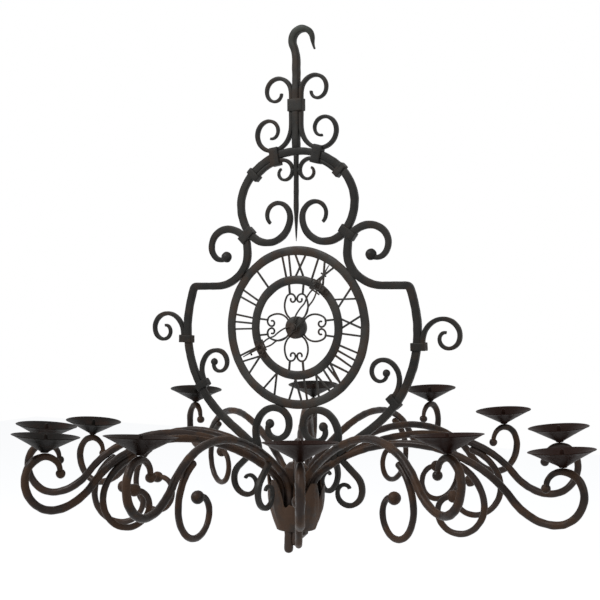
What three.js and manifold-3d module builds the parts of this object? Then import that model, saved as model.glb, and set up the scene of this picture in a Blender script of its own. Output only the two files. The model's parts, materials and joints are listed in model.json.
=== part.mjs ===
import * as THREE from "three";
import { mergeVertices } from "three/addons/utils/BufferGeometryUtils.js";
import Module from "manifold-3d";

// A hanging candle lamp of forged iron, with a pierced clock dial held in a scrolled frame.
// Sizes are in millimetres. The frame lies in the XZ plane, and the lamp hangs from the origin.

// Clearance left where two pieces touch
const seat = 0.3;

// Bars of the frame, each as width in the plane and depth across it
const frameWidth = 16;
const frameDepth = 12;
const scrollWidth = 9.5;
const scrollDepth = 10;
const collarWall = 3;
const collarLength = 15;

// Clock dial
const dialRadius = 175;
const dialRingWidth = 19;
const chapterRadius = 112;
const chapterRingWidth = 18.5;
const dialThickness = 5;
const numeralStroke = 4;
const numeralSpacing = 16.5;
const heartBar = 4.2;
const heartRodSpread = 16.5;
const bossRadius = 24;
const bossThickness = 14;
const arborRadius = 3.2;
const arborHead = 6;

// Clock hands
const handThickness = 2.5;
const handEye = 9;
const handBar = 3.2;
const minuteReach = 158;
const hourReach = 146;
const minuteAngle = 33;
const hourAngle = 243;

// Arch and its inner volutes
const archFlank = 95;
const kissAngle = 50;
const archShoulder = 75;
const archCrown = 182;
const archVolute = 50;
const archEye = 17;
const spikeWidth = 9.5;
const spikeLength = 186;

// Side bars
const sideTouchAngle = 41;
const sideWaist = 86;
const sideNeck = 17;
const sideVolute = 52;
const sideEye = 16;
const sideShelf = 52;
const sideCorner = 10;
const sideBelly = dialRadius + 87;
const sideFoot = dialRadius * 4;
const sideTail = 60;
const sideBall = 12.5;

// Scrolls that ride on the side bars
const outerHeightLeft = -29;
const outerHeightRight = -35;
const outerVolute = 52;
const outerEye = 9;
const innerHeightLeft = 41 - dialRadius;
const innerHeightRight = 22 - dialRadius;
const innerVolute = 55;
const innerEye = 11;
const innerBall = 8.5;

// Scrolls below the dial
const baseWidth = 14;
const baseDepth = 12;
const baseSpread = 99;
const baseVolute = 64;
const baseFoot = 30;
const baseEye = 11;
const baseBall = 10.5;
const lowerWidth = 12.5;
const lowerSpread = 110;
const lowerRun = 44;
const lowerVolute = 40;
const lowerEye = 9;

// Crest scrolls, stem and hook
const stemWidth = 15;
const crestWidth = 8.5;
const crestWaist = 478;
const crestTopVolute = 37;
const crestLowVolute = 36;
const crestEye = 10;
const crestSweep = 56;
const hangEye = 9;
const hangFrom = 128;
const hangTo = 168;
const hookRadius = 24.5;
const hookLean = 84;
const hookStart = 572;
const clampSpread = 52;
const gripWall = 1.5;

// Arms, drip pans and the scrolls under the arms
const armCount = 12;
const armBar = 16;
const bundleGap = 0.8;
const armFoot = -447;
const armShoulder = -350;
const armRise = 100;
const armArch = 430;
const armFall = 363;
const armDrop = 152;
const armLoop = 62;
const armReach = 556;
const armBall = 10;

// Drip pans: a cone with a small flat floor round its pricket
const panRadius = 65;
const panHeight = 28;
const panFloor = 12;
const panWall = 2.6;
const panNeck = 7.5;
const panStandoff = 4.5;
const panLean = 4.5;
const nubRadius = 4.5;
const nubHeight = 31;

// Scrolls under the arms
const underBar = 14.5;
const underSweep = 97;
const underVolute = 69;
const underBall = 13;
const postTop = -290;
const postFoot = -452;

// Leaf cup round the foot of the arms
const cupTop = -308;
const cupBottom = -432;
const cupBelly = 57;
const cupWall = 3;
const leafCount = 8;
const leafNotch = 46;

// Each arm as it was bent by hand: lift at the pan, share of the reach, turn off its twelfth, foot below,
// and how far out its under scroll starts
const armTrim = [
  [-24, 1.054, 0, 4, 370],
  [-12, 1.02, 0, 0, 380],
  [-4, 1.035, 0, 6, 398],
  [37, 1.0, -8, 2, 398],
  [38, 1.0, -4.9, 0, 398],
  [33, 0.96, -1.4, 5, 398],
  [-28, 1.01, 0, 0, 398],
  [-7, 0.97, 0, 3, 398],
  [3, 1.0, 0, 0, 374],
  [26, 1.0, 0.8, 32, 398],
  [25, 1.0, 0.7, 16, 398],
  [28, 0.98, -1, 2, 398],
];

const wasm = await Module();
wasm.setup();
const rad = THREE.MathUtils.degToRad;
const degrees = THREE.MathUtils.radToDeg;

const metals = {
  frame: [0x34322f, 0.62, 0.7],
  dial: [0x37332e, 0.6, 0.7],
  arm: [0x3e342f, 0.58, 0.65],
  pan: [0x2d2a28, 0.55, 0.65],
  leaf: [0x4a3b30, 0.65, 0.6],
};

// A bar's centre line, bent step by step in its plane. A run of one number is straight.
// A run of three numbers turns through its last, in degrees, while the radius goes from first to second.
function bend(x, z, heading, runs, step = 28) {
  let h = rad(heading);
  const line = [{ x, z, h }];
  for (const [first, last, turn] of runs) {
    const size = turn === undefined ? 0 : Math.max(Math.abs(turn) / step, (Math.abs(rad(turn)) * (first + last)) / 130);
    const parts = Math.max(turn === undefined ? 1 : 2, Math.round(size));
    const angle = turn === undefined ? 0 : rad(turn) / parts;
    for (let i = 0; i < parts; i += 1) {
      const radius = first + ((last ?? first) - first) * (i + 0.5) / parts;
      const chord = angle ? 2 * radius * Math.sin(Math.abs(angle) / 2) : first;
      x += chord * Math.cos(h + angle / 2);
      z += chord * Math.sin(h + angle / 2);
      h += angle;
      line.push({ x, z, h });
    }
  }
  return line;
}

const reversed = (line) => line.map((p) => ({ ...p, h: p.h + Math.PI })).reverse();
const mirrored = (line) => line.map((p) => ({ x: -p.x, z: p.z, h: Math.PI - p.h }));
const beside = (p, offset) => ({
  x: p.x - Math.sin(p.h) * offset,
  z: p.z + Math.cos(p.h) * offset,
  h: p.h,
});
const last = (line) => line[line.length - 1];

// The point of a line where a measure of it first passes a value
function pointWhere(line, measure, value) {
  for (let i = 1; i < line.length; i += 1) {
    const a = measure(line[i - 1]) - value;
    const b = measure(line[i]) - value;
    if (a * b <= 0 && a !== b) {
      const t = a / (a - b);
      const p = line[i - 1];
      const q = line[i];
      const mix = (u, v) => u + (v - u) * t;
      return { x: mix(p.x, q.x), z: mix(p.z, q.z), h: Math.atan2(q.z - p.z, q.x - p.x), i };
    }
  }
  return last(line);
}

function nearestPoint(p, line) {
  let best = { d: Infinity };
  for (let i = 1; i < line.length; i += 1) {
    const a = line[i - 1];
    const dx = line[i].x - a.x;
    const dz = line[i].z - a.z;
    const along = ((p.x - a.x) * dx + (p.z - a.z) * dz) / (dx * dx + dz * dz || 1);
    const t = Math.min(1, Math.max(0, along));
    const d = Math.hypot(a.x + t * dx - p.x, a.z + t * dz - p.z);
    if (d < best.d) {
      best = { d, x: a.x + t * dx, z: a.z + t * dz };
    }
  }
  return best;
}

const distanceToLine = (p, line) => nearestPoint(p, line).d;

function gapBetween(a, b) {
  const near = a.map((p) => distanceToLine(p, b));
  const far = b.map((p) => distanceToLine(p, a));
  return Math.min(...near, ...far);
}

// The value between two others at which a measure comes down to nought
function settle(measure, open, shut) {
  for (let i = 0; i < 40; i += 1) {
    const middle = (open + shut) / 2;
    if (measure(middle) > 0) {
      open = middle;
    } else {
      shut = middle;
    }
  }
  return open;
}

// A bar forged along its line: its section shrinks along it by the taper, and grow adds to every side
function forge(bar, grow = 0) {
  const { width, depth = width, sides = 4, taper = () => 1, knob = 0 } = bar;
  const line = bar.line.map((p) => ({ ...p }));
  line[0] = { ...line[0], x: line[0].x - Math.cos(line[0].h) * grow, z: line[0].z - Math.sin(line[0].h) * grow };
  const end = last(line);
  end.x += Math.cos(end.h) * grow;
  end.z += Math.sin(end.h) * grow;
  const lengths = [0];
  for (let i = 1; i < line.length; i += 1) {
    lengths.push(lengths[i - 1] + Math.hypot(line[i].x - line[i - 1].x, line[i].z - line[i - 1].z));
  }
  const rings = line.map((p, i) => {
    const scale = taper(lengths[i] / last(lengths));
    return { ...p, a: (width * scale) / 2 + grow, b: (depth * scale) / 2 + grow };
  });
  if (knob) {
    const from = last(rings);
    const round = knob + grow;
    for (const angle of [55, 100, 150]) {
      const along = round * (0.75 - Math.cos(rad(angle)));
      const size = round * Math.sin(rad(angle));
      rings.push({
        x: from.x + Math.cos(from.h) * along,
        z: from.z + Math.sin(from.h) * along,
        h: from.h,
        a: size,
        b: size,
      });
    }
  }
  const square = sides === 4;
  const reach = square ? Math.SQRT2 : 1;
  const points = [];
  for (const r of rings) {
    for (let k = 0; k < sides; k += 1) {
      const turn = rad((360 * (k + (square ? 0.5 : 0))) / sides);
      const up = Math.sin(turn) * reach * r.a;
      points.push(r.x - Math.sin(r.h) * up, Math.cos(turn) * reach * r.b, r.z + Math.cos(r.h) * up);
    }
  }
  const faces = [];
  for (let i = 0; i + 1 < rings.length; i += 1) {
    for (let k = 0; k < sides; k += 1) {
      const a = i * sides + k;
      const b = i * sides + ((k + 1) % sides);
      faces.push(a, b, b + sides, a, b + sides, a + sides);
    }
  }
  const top = (rings.length - 1) * sides;
  for (let k = 1; k + 1 < sides; k += 1) {
    faces.push(0, k + 1, k, top, top + k, top + k + 1);
  }
  const geometry = new THREE.BufferGeometry();
  geometry.setAttribute("position", new THREE.Float32BufferAttribute(points, 3));
  geometry.setIndex(faces);
  return solid(geometry);
}

// A closed geometry as a solid that can be joined and cut
function solid(geometry) {
  const bare = geometry.clone();
  bare.deleteAttribute("normal");
  bare.deleteAttribute("uv");
  const merged = mergeVertices(bare, 1e-4);
  return new wasm.Manifold(
    new wasm.Mesh({
      numProp: 3,
      vertProperties: new Float32Array(merged.attributes.position.array),
      triVerts: new Uint32Array(merged.index.array),
    }),
  );
}

function mesh(name, body, metal) {
  const data = body.getMesh();
  const geometry = new THREE.BufferGeometry();
  geometry.setAttribute("position", new THREE.BufferAttribute(new Float32Array(data.vertProperties), 3));
  geometry.setIndex(new THREE.BufferAttribute(new Uint32Array(data.triVerts), 1));
  geometry.computeVertexNormals();
  const [color, roughness, metalness] = metals[metal];
  const material = new THREE.MeshStandardMaterial({ color, roughness, metalness });
  const made = new THREE.Mesh(geometry, material);
  made.name = name;
  return made;
}

const join = (...bodies) => bodies.reduce((all, body) => all.add(body));

// What is left of a body once the tools are taken away, without loose offcuts
function cut(body, ...tools) {
  const rest = tools.reduce((left, tool) => left.subtract(tool), body);
  return rest.decompose().reduce((big, piece) => (piece.volume() > big.volume() ? piece : big));
}

// A block across a bar at a point of its line, from low to high beside the line
function block(p, along, low, high, depth) {
  const geometry = new THREE.BoxGeometry(along, depth, high - low);
  geometry.translate(0, 0, (high + low) / 2);
  geometry.rotateY(-p.h);
  geometry.translate(p.x, 0, p.z);
  return solid(geometry);
}

function ball(p, radius) {
  const geometry = new THREE.SphereGeometry(radius, 8, 5);
  geometry.rotateX(Math.PI / 2);
  geometry.translate(p.x, 0, p.z);
  return solid(geometry);
}

// A turned piece about the axis that runs through the dial from front to back
function turnedAcross(profile, segments) {
  const points = profile.map(([r, y]) => new THREE.Vector2(r, y));
  return solid(new THREE.LatheGeometry(points, segments));
}

function turnedUpright(profile, segments) {
  const points = profile.map(([r, z]) => new THREE.Vector2(r, z));
  const geometry = new THREE.LatheGeometry(points, segments);
  geometry.rotateX(Math.PI / 2);
  return solid(geometry);
}

const between = (value, from, to) => Math.min(1, Math.max(0, (value - from) / (to - from)));

// Arms: a riser out of the bundle, a long arch, a drop and a loop that carries the pan
const riserRing = (armBar + bundleGap) / (2 * Math.sin(Math.PI / armCount));
const riserFlat = (armBar / 2) * Math.cos(Math.PI / 6);

function armLine(lift, share, foot) {
  const out = bend(riserRing, armShoulder, 90, [
    [armRise * 0.09, armRise, -53],
    [armArch, armArch, -28],
    [armFall, armFall * 0.44, -59],
    [armDrop, armDrop * 0.52, 50],
    [armLoop, armLoop * 0.96, 90],
    [armLoop * 0.74, armLoop * 0.64, 90],
    [armLoop * 0.64, armLoop * 0.4, 85],
  ]);
  const top = pointWhere(out.slice(-10), (p) => p.h, rad(180));
  const stretch = (armReach * share - riserRing) / (top.x - riserRing);
  const placed = out.map((p) => {
    const t = between(p.x, riserRing + 60, top.x - armLoop * 1.2);
    return { x: riserRing + (p.x - riserRing) * stretch, z: p.z + lift * t * t * (3 - 2 * t), h: p.h };
  });
  return [{ x: riserRing, z: armFoot - foot, h: rad(90) }, ...placed];
}

function armBarAt(index) {
  const [lift, share, , foot] = armTrim[index];
  return { line: armLine(lift, share, foot), width: armBar, sides: 6, knob: armBall };
}

// Where the pan stands: the top of the arm's end loop
function panSeat(bar) {
  const tail = bar.line.slice(-8);
  const p = pointWhere(tail, (q) => q.h, rad(180));
  return { x: p.x, z: p.z };
}

function pan() {
  return turnedUpright(
    [
      [0, 0],
      [panNeck, 0],
      [panFloor, panStandoff],
      [panRadius, panStandoff + panHeight],
      [panRadius - panWall, panStandoff + panHeight],
      [panFloor, panStandoff + panWall],
      [nubRadius, panStandoff + panWall],
      [nubRadius * 0.6, panStandoff + nubHeight],
      [0, panStandoff + nubHeight],
    ],
    12,
  );
}

function underScroll(arm, reach) {
  const at = pointWhere(arm.line, (p) => p.x, reach);
  const flat = Math.cos(Math.PI / 6) / 2;
  const start = beside(at, -(armBar + underBar) * flat - seat);
  const line = bend(start.x, start.z, degrees(at.h) - 2, [
    [underSweep, underSweep * 0.95, -54],
    [underVolute, underVolute * 0.76, -90],
    [underVolute * 0.71, underVolute * 0.6, -90],
    [underVolute * 0.52, underVolute * 0.4, -95],
  ], 32);
  const scroll = { line, width: underBar, sides: 6, knob: underBall, taper: (t) => 1 - 0.15 * t };
  const cheek = pointWhere(line, (p) => p.h, rad(-75));
  const out = nearestPoint(cheek, arm.line);
  const rivet = stroke(new THREE.Vector2(cheek.x, cheek.z), new THREE.Vector2(out.x, out.z), underBar * 0.6, underBar * 0.6);
  return join(forge(scroll), cut(rivet, forge(arm, seat)));
}

// Side bar, from the dial up to its volute and from the dial down to the arm
const sideClear = dialRadius + frameWidth / 2 + seat;
const sideTouch = {
  x: sideClear * Math.cos(rad(sideTouchAngle)),
  z: sideClear * Math.sin(rad(sideTouchAngle)),
};
const sideUp = bend(sideTouch.x, sideTouch.z, sideTouchAngle + 90, [
  [sideWaist * 0.7, sideWaist * 0.7, -46],
  [sideNeck],
  [sideVolute * 0.48, sideVolute * 0.48, -40],
  [sideVolute * 1.36, sideVolute * 0.76, -80],
  [sideVolute * 0.76, sideVolute * 0.6, -90],
  [sideVolute * 0.56, sideEye * 0.75, -110],
]);
const sideDown = bend(sideTouch.x, sideTouch.z, sideTouchAngle - 90, [
  [sideWaist, sideWaist * 1.1, 90 - sideTouchAngle],
  [sideShelf],
  [sideCorner, sideCorner, -69.5],
  [sideBelly, sideBelly * 0.87, -70.5],
  [sideFoot, sideFoot, -5],
  [sideTail],
], 14);
const sideLine = [...reversed(sideUp), ...sideDown.slice(1)];
const kiss = { ...pointWhere(sideUp, (p) => p.h, rad(kissAngle)), h: rad(kissAngle) };

const sideBar = {
  line: sideLine,
  width: frameWidth,
  depth: frameDepth,
  taper: (t) => 0.62 + 0.38 * between(t, 0, 0.16),
};

// Arch: it lies against the side bars at their necks, crowns over the dial and rolls in
const archStart = beside(kiss, frameWidth + seat);
const archFull = bend(0, 0, kissAngle, [
  [archFlank, archFlank, 90 - kissAngle],
  [archShoulder, archCrown, 90],
], 14);
const archScale = archStart.x / -last(archFull).x;
const archRise = archFull.map((p) => ({
  x: archStart.x + p.x * archScale,
  z: archStart.z + p.z * archScale,
  h: p.h,
}));
const archIn = bend(archStart.x, archStart.z, kissAngle + 180, [
  [archVolute * 1.3, archVolute, -140],
  [archVolute * 0.68, archEye * 1.25, -230],
]);
const archHalf = [...reversed(archRise), ...archIn.slice(1)];
const archTop = last(archRise).z;
const archLine = [...reversed(mirrored(archHalf)), ...archHalf.slice(1)];
const archTaper = (t) => 1 - 0.55 * between(Math.abs(t - 0.5), 0.3, 0.5);
const arch = { line: archLine, width: frameWidth, depth: frameDepth, taper: archTaper };

// Crest scrolls against the stem, resting on the arch
const crestX = (stemWidth + crestWidth) / 2 + seat;
const crestTop = bend(crestX, crestWaist, 90, [
  [26],
  [crestTopVolute, crestEye * 1.2, -365],
]);
function crestLowAt(run) {
  return bend(crestX, crestWaist, -90, [
    [run],
    [crestSweep, crestLowVolute, 134],
    [crestLowVolute, crestEye * 1.2, 330],
  ]);
}
const crestClear = (frameWidth + crestWidth) / 2 + seat;
const crestRun = settle((v) => gapBetween(crestLowAt(v), archRise) - crestClear, 0, 90);
const crestLow = crestLowAt(crestRun);
const crestLine = [...reversed(crestTop), ...crestLow.slice(1)];
const crest = {
  line: crestLine,
  width: crestWidth,
  depth: scrollDepth,
  taper: (t) => 1 - 0.35 * between(Math.abs(t - 0.5), 0.3, 0.5),
};

// Scrolls that hang under the arch
const hangOffset = (frameWidth + crestWidth) / 2 + seat;
const hangUnder = archRise.filter((p) => p.h > rad(hangFrom) && p.h < rad(hangTo));
const hangRun = hangUnder.map((p) => beside(p, hangOffset));
const hangTurn = last(hangRun);
const hangTailOf = (radius) =>
  bend(hangTurn.x, hangTurn.z, degrees(hangTurn.h), [[radius, hangEye, 350]]);
const hangTouch = (spikeWidth + crestWidth) / 2 + seat;
const hangVolute = settle((r) => Math.min(...hangTailOf(r).map((p) => p.x)) - hangTouch, 5, 60);
const hangTail = hangTailOf(hangVolute);
const hang = {
  line: [...hangRun, ...hangTail.slice(1)],
  width: crestWidth,
  depth: scrollDepth,
  taper: (t) => 1 - 0.4 * between(t, 0.4, 1),
};

function sidePieces(side, outerHeight, innerHeight, arm) {
  const group = new THREE.Group();
  const name = (base) => base + "_" + side;
  const armRoom = forge(arm, seat);
  const archRoom = forge(arch, seat);
  const sideRoom = forge(sideBar, seat);

  const collar = block(
    beside(kiss, (frameWidth + seat) / 2),
    collarLength,
    -frameWidth - collarWall,
    frameWidth + collarWall,
    frameDepth + 2 * collarWall,
  );
  const sideBody = join(forge(sideBar), ball(sideLine[0], sideBall), collar);
  group.add(mesh(name("side_bar"), cut(sideBody, archRoom, armRoom), "frame"));

  const low = sideDown.slice(8);
  const outerAt = pointWhere(low, (p) => p.z, outerHeight);
  const outerStart = beside(outerAt, (frameWidth + scrollWidth) / 2 + seat);
  const outer = {
    line: bend(outerStart.x, outerStart.z, degrees(outerAt.h) + 180, [
      [10],
      [outerVolute, outerVolute * 0.48, -212],
      [outerVolute * 0.5, outerEye, -250],
    ]),
    width: scrollWidth,
    depth: scrollDepth,
    taper: (t) => 1 - 0.35 * between(t, 0.5, 1),
  };
  const outerCollar = block(
    beside(outerAt, (frameWidth + scrollWidth) / 2 + seat - scrollWidth / 2),
    collarLength,
    -frameWidth - collarWall,
    scrollWidth + collarWall,
    frameDepth + 2 * collarWall,
  );
  group.add(mesh(name("outer_scroll"), cut(join(forge(outer), outerCollar), sideRoom), "frame"));

  const innerAt = pointWhere(low, (p) => p.z, innerHeight);
  const innerStart = beside(innerAt, -(frameWidth + scrollWidth) / 2 - seat);
  const inner = {
    line: bend(innerStart.x, innerStart.z, degrees(innerAt.h) + 180, [
      [6],
      [innerVolute, innerVolute * 0.44, 170],
      [innerVolute * 0.46, innerEye, 250],
    ]),
    width: scrollWidth,
    depth: scrollDepth,
    taper: (t) => 1 - 0.3 * between(t, 0.5, 1),
  };
  const innerCollar = block(
    beside(innerAt, -(frameWidth + scrollWidth) / 2 - seat + scrollWidth / 2),
    collarLength,
    -scrollWidth - collarWall,
    frameWidth + collarWall,
    frameDepth + 2 * collarWall,
  );
  const innerBody = join(forge(inner), ball(last(inner.line), innerBall), innerCollar);
  group.add(mesh(name("inner_scroll"), cut(innerBody, sideRoom), "frame"));

  const baseLine = (drop) => bend(baseSpread, drop, 71, [
    [baseVolute, baseVolute * 0.42, 186],
    [baseVolute * 0.6, baseEye, 245],
  ]);
  const rim = dialRadius + baseWidth / 2 + seat;
  const clearOfDial = (drop) => Math.min(...baseLine(drop).map((p) => Math.hypot(p.x, p.z))) - rim;
  const drop = settle(clearOfDial, -2.3 * dialRadius, -1.14 * dialRadius);
  const base = {
    line: [{ x: baseSpread - 6, z: drop - baseFoot, h: rad(80) }, ...baseLine(drop)],
    width: baseWidth,
    depth: baseDepth,
    taper: (t) => 1 - 0.25 * between(t, 0.5, 1),
  };
  const baseBody = join(forge(base), ball(last(base.line), baseBall));
  group.add(mesh(name("base_scroll"), cut(baseBody, armRoom, sideRoom), "frame"));

  const clampAt = pointWhere(reversed(archRise), (p) => p.x, clampSpread);
  const clampHalf = frameWidth / 2 + crestWidth + collarWall + seat;
  const clamp = block(clampAt, collarLength * 1.3, -clampHalf, clampHalf, frameDepth + 2 * collarWall);
  const crestBody = cut(join(forge(crest), clamp), archRoom, forge(hang, seat));
  group.add(mesh(name("crest_scroll"), crestBody, "frame"));

  const clipAt = hangRun[0];
  const clip = block(
    clipAt,
    collarLength,
    -crestWidth / 2 - frameWidth - collarWall - seat,
    crestWidth / 2 + collarWall,
    frameDepth + 2 * collarWall,
  );
  group.add(mesh(name("hanging_scroll"), cut(join(forge(hang), clip), archRoom), "frame"));
  return group;
}

function lowerScroll(arm) {
  const at = pointWhere(arm.line.slice(2), (p) => p.x, lowerSpread);
  const start = beside(at, -armBar * 0.4);
  return cut(
    forge({
      line: bend(start.x, start.z, -42, [
        [lowerRun],
        [lowerVolute, lowerVolute * 0.75, -138],
        [lowerVolute * 0.72, lowerEye, -250],
      ]),
      width: lowerWidth,
      depth: scrollDepth,
      taper: (t) => 1 - 0.4 * between(t, 0.4, 1),
    }),
    forge(arm, seat),
  );
}

// Stem and hook in one bar, with the collar that grips the crest scrolls
function hookStem() {
  const foot = archTop + frameWidth / 2 + seat;
  const line = bend(0, foot, 90, [
    [hookStart - foot],
    [hookLean, hookLean, 24],
    [hookRadius, hookRadius, -201],
    [hookLean * 0.75, hookLean * 0.75, 22],
  ]);
  const bar = { line, width: stemWidth, taper: (t) => 1 - 0.75 * between(t, 0.82, 1) };
  const crook = pointWhere(line.slice(3), (p) => p.h, 0);
  const gripHalf = stemWidth / 2 + crestWidth + seat + gripWall;
  const grip = block(
    { x: 0, z: crestWaist, h: Math.PI / 2 },
    collarLength * 1.8,
    -gripHalf,
    gripHalf,
    stemWidth + 2 * gripWall,
  );
  const crestRoom = forge(crest, seat);
  const crestRoomLeft = forge({ ...crest, line: reversed(mirrored(crest.line)) }, seat);
  return { body: join(forge(bar), cut(grip, crestRoom, crestRoomLeft)), crook };
}

// Dial: two flat rings, the hour strokes between them, four hearts and the boss
function stroke(from, to, width, thickness) {
  const length = from.distanceTo(to);
  const geometry = new THREE.BoxGeometry(length, thickness, width);
  geometry.rotateY(-Math.atan2(to.y - from.y, to.x - from.x));
  geometry.translate((from.x + to.x) / 2, 0, (from.y + to.y) / 2);
  return solid(geometry);
}

const numerals = [
  ["XII", 2],
  ["I", 9],
  ["II", 2],
  ["III", -4],
  ["IV", 2],
  ["V", 4],
  ["VI", 2],
  ["VII", 2],
  ["VIII", -3],
  ["IX", 2],
  ["X", -2],
  ["XI", 2],
];
const strokesOf = { I: [[0, 0]], V: [[-1, 0], [1, 0]], X: [[-1, 1], [1, -1]] };
const letterWidth = { I: 1, V: 2.6, X: 2.6 };
const letterSplay = { I: 0, V: 15.5, X: 13 };

function ring(outer, width) {
  return turnedAcross(
    [
      [outer - width, -dialThickness / 2],
      [outer, -dialThickness / 2],
      [outer, dialThickness / 2],
      [outer - width, dialThickness / 2],
      [outer - width, -dialThickness / 2],
    ],
    32,
  );
}

function dial() {
  const inner = chapterRadius - 1;
  const outer = dialRadius - dialRingWidth + 1;
  const bodies = [ring(dialRadius, dialRingWidth), ring(chapterRadius, chapterRingWidth)];
  numerals.forEach(([word, off], hour) => {
    const turn = rad(30 * hour + off);
    const letters = [...word];
    const total = letters.reduce((sum, letter) => sum + letterWidth[letter], 0);
    let at = -total / 2;
    for (const letter of letters) {
      const middle = (at + letterWidth[letter] / 2) * numeralSpacing;
      at += letterWidth[letter];
      const half = letterSplay[letter];
      for (const [top, foot] of strokesOf[letter]) {
        const place = (side, radius) =>
          new THREE.Vector2(
            -(side * Math.cos(turn) + radius * Math.sin(turn)),
            radius * Math.cos(turn) - side * Math.sin(turn),
          );
        const narrow = inner / outer;
        const from = place((middle + foot * half) * narrow, Math.sqrt(inner * inner - middle * middle * 0.6));
        const to = place(middle + top * half, Math.sqrt(outer * outer - middle * middle * 0.8));
        bodies.push(stroke(from, to, numeralStroke, dialThickness * 0.7));
      }
    }
  });
  const edge = bossRadius - 3;
  const leaf = bend(edge * Math.sin(rad(32)), edge * Math.cos(rad(32)), 20, [
    [21, 41, 100],
    [18, 15, 150],
    [12, 8, 190],
  ], 40);
  const heart = { line: leaf, width: heartBar, depth: dialThickness * 0.8 };
  const half = forge(heart);
  const other = forge({ ...heart, line: reversed(mirrored(leaf)) });
  const rodTop = chapterRadius - chapterRingWidth + 1;
  const high = Math.max(...leaf.map((p) => p.z));
  const rod = (side) =>
    stroke(
      new THREE.Vector2(side * heartRodSpread * 0.95, high - heartBar * 0.5),
      new THREE.Vector2(side * heartRodSpread * 1.1, rodTop),
      heartBar,
      dialThickness * 0.8,
    );
  const quarter = join(half, other, rod(1), rod(-1));
  for (let i = 0; i < 4; i += 1) {
    bodies.push(quarter.rotate([0, 90 * i, 0]));
  }
  const face = bossThickness / 2;
  const headAt = face + 2 * (handThickness + 2 * seat);
  bodies.push(
    turnedAcross(
      [
        [0, -headAt - 3],
        [arborHead, -headAt - 3],
        [arborHead, -headAt],
        [arborRadius, -headAt],
        [arborRadius, -face],
        [bossRadius, -face],
        [bossRadius, face],
        [0, face],
      ],
      20,
    ),
  );
  return join(...bodies);
}

// A pierced hand, pointing up before it is turned: two bowed bars, a knot of rings and a tip
function hand(reach, level, angle) {
  const y = -(bossThickness / 2 + seat + level * (handThickness + 2 * seat) + handThickness / 2);
  const eye = turnedAcross(
    [
      [arborRadius + seat, -handThickness / 2],
      [handEye, -handThickness / 2],
      [handEye, handThickness / 2],
      [arborRadius + seat, handThickness / 2],
      [arborRadius + seat, -handThickness / 2],
    ],
    12,
  );
  const knotAt = reach * 0.68;
  const bow = bend(handEye * 0.55, handEye * 0.6, 66, [
    [reach * 0.2, reach * 0.5, 40],
    [reach * 0.12, reach * 0.12, -30],
    [reach * 0.22, reach * 0.3, 42],
  ], 24);
  const grow = (knotAt - 6 - bow[0].z) / (last(bow).z - bow[0].z);
  const line = bow.map((p) => ({ x: p.x * (0.55 + 0.45 * grow), z: bow[0].z + (p.z - bow[0].z) * grow, h: p.h }));
  const blade = { line, width: handBar, depth: handThickness };
  const round = (x, z, r) => {
    const flat = [
      [r - handBar * 0.8, -handThickness / 2],
      [r, -handThickness / 2],
      [r, handThickness / 2],
      [r - handBar * 0.8, handThickness / 2],
      [r - handBar * 0.8, -handThickness / 2],
    ];
    return turnedAcross(flat, 8).translate([x, 0, z]);
  };
  const v = (x, z) => new THREE.Vector2(x, z);
  const body = join(
    eye,
    forge(blade),
    forge({ ...blade, line: reversed(mirrored(line)) }),
    stroke(v(-reach * 0.09, knotAt - 14), v(reach * 0.09, knotAt - 14), handBar, handThickness),
    round(0, knotAt, reach * 0.065),
    round(-reach * 0.075, knotAt + 1, reach * 0.045),
    round(reach * 0.075, knotAt + 1, reach * 0.045),
    forge({
      line: bend(0, knotAt + reach * 0.04, 90, [[reach * 0.3 - reach * 0.02]]),
      width: handBar * 1.6,
      depth: handThickness,
      taper: (t) => 1 - 0.6 * t,
    }),
    stroke(v(-reach * 0.045, knotAt + reach * 0.17), v(reach * 0.045, knotAt + reach * 0.17), handBar, handThickness),
  );
  return body.rotate([0, angle, 0]).translate([0, y, 0]);
}

// Leaf cup: thin lobed leaves set round the bundle of arms, open above and below
function leafCup() {
  const columns = leafCount * 4;
  const rows = 5;
  const foot = riserRing + riserFlat;
  const bowl = (v) => foot + (cupBelly - foot) * Math.sin(Math.min(1, v * 1.7) * Math.PI * 0.5);
  const topAt = (u) => {
    const lobe = Math.abs(Math.sin(Math.PI * leafCount * u));
    return cupTop - leafNotch * (1 - lobe ** 0.6) - 5 * Math.abs(Math.sin(Math.PI * leafCount * 3 * u));
  };
  const points = [];
  const faces = [];
  for (const grow of [cupWall, 0]) {
    for (let i = 0; i <= rows; i += 1) {
      for (let k = 0; k < columns; k += 1) {
        const u = k / columns;
        const z = cupBottom + (topAt(u) - cupBottom) * (i / rows);
        const v = (z - cupBottom) / (cupTop - cupBottom);
        const crease = 1 + 0.06 * v * (Math.abs(Math.sin(Math.PI * leafCount * u)) - 0.4);
        const r = bowl(v) * crease + grow;
        points.push(r * Math.cos(2 * Math.PI * u), r * Math.sin(2 * Math.PI * u), z);
      }
    }
  }
  const skin = (rows + 1) * columns;
  const at = (layer, i, k) => layer * skin + i * columns + (k % columns);
  const quad = (a, b, c, d) => faces.push(a, b, c, a, c, d);
  for (let k = 0; k < columns; k += 1) {
    for (let i = 0; i < rows; i += 1) {
      quad(at(0, i, k), at(0, i, k + 1), at(0, i + 1, k + 1), at(0, i + 1, k));
      quad(at(1, i, k + 1), at(1, i, k), at(1, i + 1, k), at(1, i + 1, k + 1));
    }
    quad(at(0, rows, k), at(0, rows, k + 1), at(1, rows, k + 1), at(1, rows, k));
    quad(at(0, 0, k + 1), at(0, 0, k), at(1, 0, k), at(1, 0, k + 1));
  }
  const geometry = new THREE.BufferGeometry();
  geometry.setAttribute("position", new THREE.Float32BufferAttribute(points, 3));
  geometry.setIndex(faces);
  return cut(solid(geometry), bundle);
}

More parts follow.
